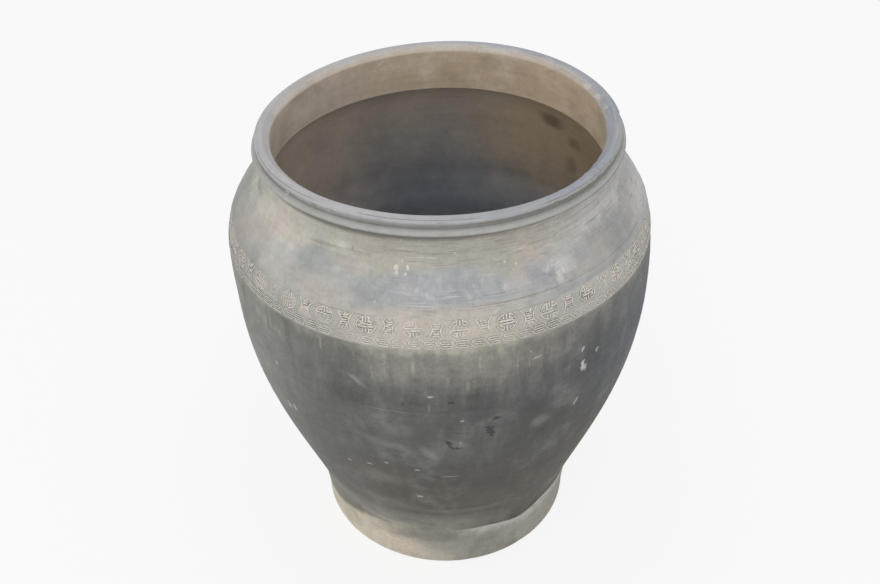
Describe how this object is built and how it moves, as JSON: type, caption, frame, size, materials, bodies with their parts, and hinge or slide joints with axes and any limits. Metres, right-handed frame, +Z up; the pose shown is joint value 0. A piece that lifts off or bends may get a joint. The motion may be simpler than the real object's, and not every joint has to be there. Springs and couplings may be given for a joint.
{
  "type": "clay storage jar",
  "caption": "Wide-mouthed grey clay jar with a beaded lip, short neck, sloping shoulder with stamped belts, tapering body and flat foot.",
  "frame": {"origin": "centre of the flat underside", "axes": "+Z up along the jar's axis of turning; the jar is round, so X and Y are free, and -Y faces the picture's camera"},
  "size_m": [0.46, 0.46, 0.53],
  "materials": {
    "dark_clay": "smoked grey, matt, unglazed",
    "middle_clay": "grey, matt, unglazed",
    "pale_clay": "buff, stamped, matt",
    "foot_clay": "buff grey, matt, worn",
    "shoulder_clay": "light grey, matt, blotched",
    "neck_clay": "beige grey, matt",
    "lip_clay": "cool light grey, smoothed",
    "floor_clay": "dark grey, matt"
  },
  "bodies": {
    "root": {"base_slab": "floor_clay", "base_corner_coil": "floor_clay", "foot_course": "foot_clay", "lower_course": "dark_clay", "middle_course": "dark_clay", "belly_course": "dark_clay", "upper_belly_course": "middle_clay", "fret_belt": "pale_clay", "medallion_belt": "pale_clay", "shoulder_course": "shoulder_clay", "neck_course": "neck_clay", "rim_bead_coil": "lip_clay", "lip_coil": "lip_clay"}
  },
  "joints": []
}
